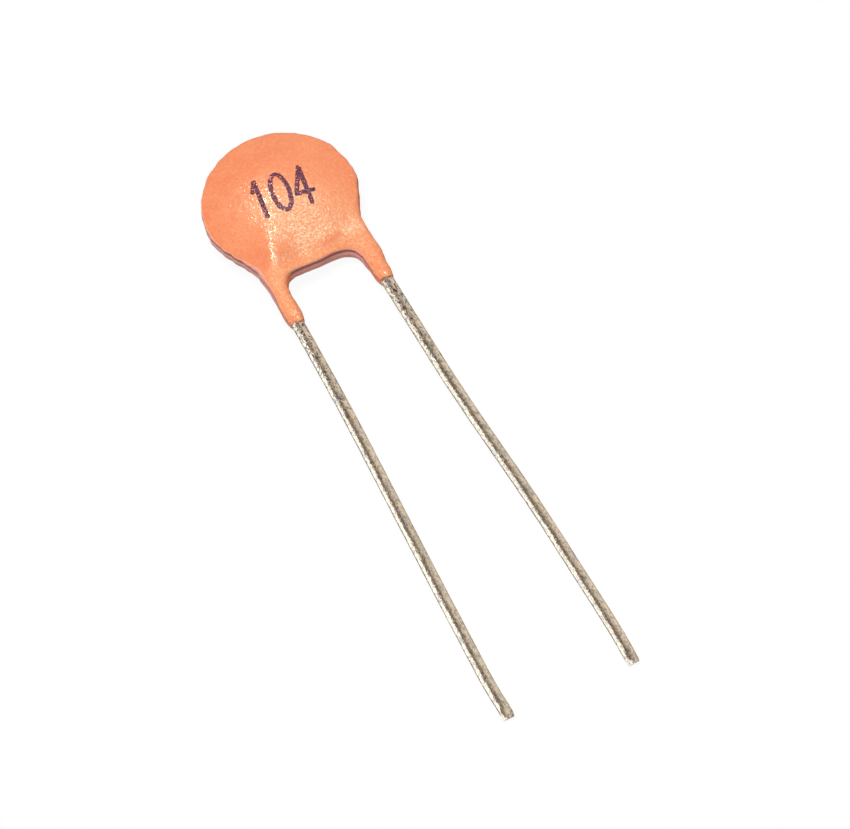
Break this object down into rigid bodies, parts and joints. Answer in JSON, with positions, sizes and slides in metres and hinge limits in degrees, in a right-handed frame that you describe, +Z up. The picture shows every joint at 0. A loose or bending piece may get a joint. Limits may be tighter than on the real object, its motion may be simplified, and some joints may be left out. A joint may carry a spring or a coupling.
{
  "type": "ceramic disc capacitor",
  "caption": "Resin-dipped ceramic disc capacitor with long tinned wire leads, lying as it comes to rest on a table.",
  "frame": {"origin": "middle of the footprint, on the table that the part lies on", "axes": "+X across the leads towards the back lead, +Y from the lead tips to the disc, +Z up through the disc's faces"},
  "size_m": [0.008, 0.0372, 0.0023],
  "materials": {
    "resin": "dipped orange resin, satin, with a fine orange-peel grain",
    "ceramic": "fired titanate ceramic, matte tan",
    "silver": "fired silver paste, matte and slightly porous",
    "solder": "soft solder, smooth and rounded",
    "tinned_wire": "hot-tinned wire, bumpy and grainy",
    "ink": "stamped ink, mottled; the scene's printed value"
  },
  "bodies": {
    "root": {"coating": "resin", "ceramic_disc": "ceramic", "electrode_front": "silver", "electrode_back": "silver", "solder_front": "solder", "solder_back": "solder", "lead_front": "tinned_wire", "lead_back": "tinned_wire"}
  },
  "joints": []
}
